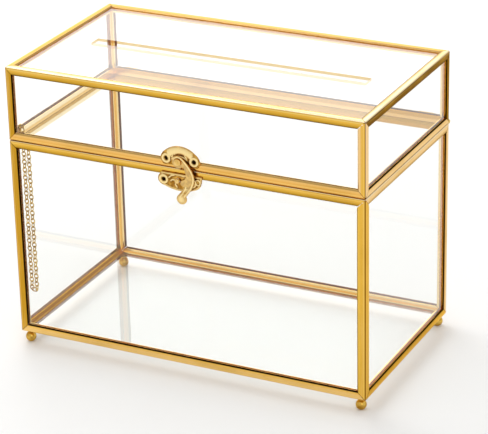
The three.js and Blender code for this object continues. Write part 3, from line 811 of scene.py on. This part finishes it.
def cast_brass(name, ground, crest, holes=(), bend=0.0):
    """Cast brass: dark in its hollows at the ground height, pale on its crests, with painted shade in its blind
    holes.
    """
    nodes = Nodes(name)
    place = nodes.add("ShaderNodeSeparateXYZ", {"Vector": nodes.position()})
    rise = nodes.math("SUBTRACT", FRONT, place.outputs[1])
    bent = nodes.ramp(
        place.outputs[2], PARTING + BEND_END * MM, PARTING + BEND_TOP * MM, bend * MM, 0.0)
    height = nodes.ramp(nodes.math("SUBTRACT", rise, bent), ground * MM, crest * MM)
    cloud = nodes.noise(420, detail=5)
    fine = nodes.noise(2600)
    low_tone = nodes.mix(nodes.ramp(cloud, 0.35, 0.65), CAST_DEEP, CAST_MIDDLE)
    tone = nodes.mix(height, low_tone, CAST_PALE)
    hollow = nodes.ramp(nodes.add("ShaderNodeNewGeometry").outputs["Pointiness"], 0.44, 0.5, 1.0, 0.0)
    tone = blend(nodes, tone, 0.95, hollow, CAST_HOLLOW)
    # painted shade: the floors of the blind holes go nearly black
    for x, z in holes:
        across = nodes.math("SUBTRACT", place.outputs[0], x * MM)
        above = nodes.math("SUBTRACT", place.outputs[2], PARTING + z * MM)
        distance = nodes.math("SQRT", nodes.math(
            "ADD", nodes.math("MULTIPLY", across, across), nodes.math("MULTIPLY", above, above)))
        tone = nodes.mix(nodes.ramp(distance, 1.25 * MM, 1.4 * MM, 1.0, 0.0), tone, CAST_HOLE_SHADE)
    rough = nodes.ramp(fine, 0.25, 0.75, 0.24, 0.4)
    tooth = nodes.math("ADD", cloud, nodes.math("MULTIPLY", fine, 0.3))
    return nodes.finish(brass_surface(nodes, tone, rough, nodes.bump(tooth, 0.4, 0.25 * MM)))


PLATE_BRASS = cast_brass("cast_plate_brass", 0.85, 1.65, LID_HOLES + BASE_HOLES)
HOOK_BRASS = cast_brass("cast_hook_brass", 2.6, 3.5, bend=HOOK_BEND)
PIN_BRASS = plain_brass("pin_brass", srgb(246, 212, 142), srgb(226, 180, 92), 0.26)


def add_clasp():
    relief_pieces = [
        ("clasp_lid_plate", lid_plate_distance, (-15.0, -0.2, 1.6), (15.0, 2.4, 16.2), PLATE_BRASS),
        ("clasp_base_plate", base_plate_distance, (-17.0, -0.2, -15.8), (15.8, 2.4, -2.6), PLATE_BRASS),
        ("clasp_hook", hook_distance, (-5.6, 1.4, -22.8), (11.4, 6.0, 10.4), HOOK_BRASS),
    ]
    for node, distance, low, high, material in relief_pieces:
        vertices, faces = clasp_mesh(distance, low, high)
        add_piece(f"cast_{node}", vertices, faces, material, BODY_OF[node], [node], "cast_brass")
    for node, mesh in [
        ("clasp_rivet", turned_pin(PIVOT, 1.3, 2.4, 3.75, 4.65)),
        ("clasp_stud", turned_pin(STUD, 1.2, 1.8, 2.0, 3.4)),
    ]:
        add_piece(f"turned_{node}", *mesh, PIN_BRASS, BODY_OF[node], [node], "cast_brass")


add_clasp()


# ---------------------------------------------------------------- hinges

# Hinge shapes are in millimetres: y backward and z up from the lid's axis, x as in the row frame.

HINGE_STEP = 0.2
KNUCKLE, BORE = 1.9, 1.15     # radii
LEAF = 0.8                    # thickness
KNUCKLE_GAP = 0.3


def hinge_mesh(node, spans, up):
    """Knuckles and leaf of one hinge half; spans are the knuckles' ranges along x, in millimetres."""
    axis = JOINTS["lid_hinge"]["pos_m"]
    low_corner, high_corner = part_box(node)
    back = (REAR - axis[1]) / MM + SOLDER_GAP
    low = [low_corner.x / MM - 0.5, -2.4, -5.9]
    high = [high_corner.x / MM + 0.5, 2.4, 5.9]
    x, y, z = grid(low, high, HINGE_STEP)
    rise = z if up else -z
    solid = None
    for start, end in spans:
        along = x - (start + end) / 2
        half = (end - start) / 2
        round_part = slab_distance(np.hypot(y, z) - KNUCKLE, along, -half, half, 0.2)
        leaf = box_distance((along, y - back - LEAF / 2, rise - 2.6), (half, LEAF / 2, 2.6), 0.2)
        part = smooth_union(round_part, leaf, 0.5)
        solid = part if solid is None else np.minimum(solid, part)
    if not up:
        middle = (low_corner.x + high_corner.x) / 2 / MM
        half = (high_corner.x - low_corner.x) / 2 / MM
        bridge = box_distance((x - middle, y - back - LEAF / 2, rise - 3.7), (half, LEAF / 2, 1.5), 0.2)
        solid = smooth_union(solid, bridge, 0.3)
    solid = np.maximum(solid, -(np.hypot(y, z) - BORE))
    vertices, faces = surface_nets(solid, low, HINGE_STEP)
    placed = [Vector((v[0] * MM, axis[1] + v[1] * MM, axis[2] + v[2] * MM)) for v in vertices]
    return placed, faces


def pin_mesh(node):
    low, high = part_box(node)
    axis = JOINTS["lid_hinge"]["pos_m"]
    length = (high.x - low.x) / MM
    profile = [(0, 0), (1.1, 0), (1.35, 0.2), (1.3, 0.45), (0.85, 0.5)]
    profile += [(radius, length - height) for radius, height in reversed(profile)]
    vertices, faces = lathe(profile, Vector((0, 0, 0)), 24)
    placed = [Vector((low.x + v.z * MM, axis[1] + v.x * MM, axis[2] + v.y * MM)) for v in vertices]
    return placed, faces


def add_hinges():
    for side in ("left", "right"):
        lid_low, lid_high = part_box(f"hinge_lid_leaf_{side}")
        base_low, base_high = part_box(f"hinge_base_leaf_{side}")
        lid_span = (lid_low.x / MM, lid_high.x / MM)
        base_spans = [
            (base_low.x / MM, lid_low.x / MM - KNUCKLE_GAP),
            (lid_high.x / MM + KNUCKLE_GAP, base_high.x / MM),
        ]
        for node, spans, up in [
            (f"hinge_lid_leaf_{side}", [lid_span], True),
            (f"hinge_base_leaf_{side}", base_spans, False),
        ]:
            vertices, faces = hinge_mesh(node, spans, up)
            add_piece(
                f"rolled_{node}", vertices, faces, SMALL_BRASS, BODY_OF[node], [node], "brass_frame")
        node = f"hinge_pin_{side}"
        add_piece(f"headed_{node}", *pin_mesh(node), WIRE_BRASS, BODY_OF[node], [node], "brass_wire")


add_hinges()


# ---------------------------------------------------------------- chain

LINK_PITCH = 2.9 * MM
LINK_WIDTH = 3.5 * MM
LINK_WIRE = 0.38 * MM         # wire radius
LINK_STEPS = 20
RUN_GAP = 0.15 * MM           # the lid run's CAD solid ends this far above where the runs meet
X_AXIS, Y_AXIS, Z_AXIS = Vector((1, 0, 0)), Vector((0, 1, 0)), Vector((0, 0, 1))


def link(centre, along, across, length, width):
    """An oval link with its long axis along, its short axis across."""
    half_length, half_width = length / 2 - LINK_WIRE, width / 2 - LINK_WIRE
    points = []
    for step in range(LINK_STEPS):
        angle = 2 * math.pi * step / LINK_STEPS
        lengthways = along * (half_length * math.sin(angle))
        sideways = across * (half_width * math.cos(angle))
        points.append(centre + lengthways + sideways)
    return closed_tube(points, LINK_WIRE, along.cross(across).normalized())


def chain_run(start, end):
    """Links from one point to another, every second one turned a quarter."""
    length = (end - start).length
    count = round(length / LINK_PITCH)
    pitch = length / count
    along = (end - start).normalized()
    outer = pitch + 4 * LINK_WIRE
    parts = []
    for number in range(count):
        centre = start + along * pitch * (number + 0.5)
        across = Y_AXIS if number % 2 else X_AXIS
        parts.append(link(centre, along, across, outer, LINK_WIDTH))
    return merged(parts)


def add_chain():
    base_eye = Vector(JOINTS["chain_base_swing"]["pos_m"])
    lid_eye = Vector(JOINTS["chain_lid_swing"]["pos_m"])
    fold = Vector(JOINTS["chain_loop_unfold"]["pos_m"])
    base_fold = Vector((base_eye.x, fold.y, fold.z))
    meeting = Vector((lid_eye.x, lid_eye.y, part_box("chain_lid_run")[0].z - RUN_GAP))
    for node, start, end in [
        ("chain_base_run", base_eye, base_fold),
        ("chain_return_run", fold, meeting),
        ("chain_lid_run", lid_eye, meeting),
    ]:
        run = chain_run(start, end)
        add_piece(f"linked_{node}", *run, WIRE_BRASS, BODY_OF[node], [node], "brass_wire")
    span = base_fold.x - fold.x
    cross = link((base_fold + fold) / 2, X_AXIS, Z_AXIS, span + 4 * LINK_WIRE, LINK_WIDTH)
    node = "chain_bottom_link"
    add_piece(f"linked_{node}", *cross, WIRE_BRASS, BODY_OF[node], [node], "brass_wire")


add_chain()


# ---------------------------------------------------------------- eyes keep their CAD shape

for eye in ("chain_base_eye", "chain_lid_eye"):
    dress(frame["nodes"][eye], WIRE_BRASS)
    frame["nodes"][eye].data.shade_smooth()


# ---------------------------------------------------------------- studio

FLOOR_TONE = (0.9, 0.895, 0.885, 1)
WORLD_STRENGTH = 0.85
LIGHT_AIM = Vector((0, 0, 0.08))
LIGHTS = [                     # name, place, size and power
    ("back", (-1.1, 2.2, 1.1), 2.0, 13),
    ("key", (-0.9, 0.5, 1.5), 1.0, 9),
    ("fill", (1.2, -1.4, 1.0), 1.2, 3),
]


def add_floor():
    half = 6
    corners = [(-half, -half, 0), (half, -half, 0), (half, half, 0), (-half, half, 0)]
    mesh = bpy.data.meshes.new("studio_floor")
    mesh.from_pydata(corners, [], [(0, 1, 2, 3)])
    nodes = Nodes("studio_floor")
    shader = nodes.add("ShaderNodeBsdfPrincipled", {
        "Base Color": FLOOR_TONE, "Roughness": 0.6, "Specular IOR Level": 0.2})
    mesh.materials.append(nodes.finish(shader.outputs[0]))
    floor = bpy.data.objects.new("studio_floor", mesh)
    bpy.context.scene.collection.objects.link(floor)


def add_light(name, place, size, power):
    light = bpy.data.lights.new(name, "AREA")
    light.size = size
    light.energy = power
    lamp = bpy.data.objects.new(name, light)
    lamp.location = place
    lamp.rotation_mode = "QUATERNION"
    lamp.rotation_quaternion = (LIGHT_AIM - Vector(place)).to_track_quat("-Z", "Y")
    bpy.context.scene.collection.objects.link(lamp)


def add_world():
    world = bpy.data.worlds.new("studio")
    world.use_nodes = True
    background = world.node_tree.nodes["Background"]
    background.inputs["Color"].default_value = (1, 1, 1, 1)
    background.inputs["Strength"].default_value = WORLD_STRENGTH
    bpy.context.scene.world = world


add_floor()
add_world()
for light_values in LIGHTS:
    add_light(*light_values)
bpy.context.scene.view_settings.view_transform = "Standard"
bpy.context.scene.cycles.transparent_max_bounces = 24
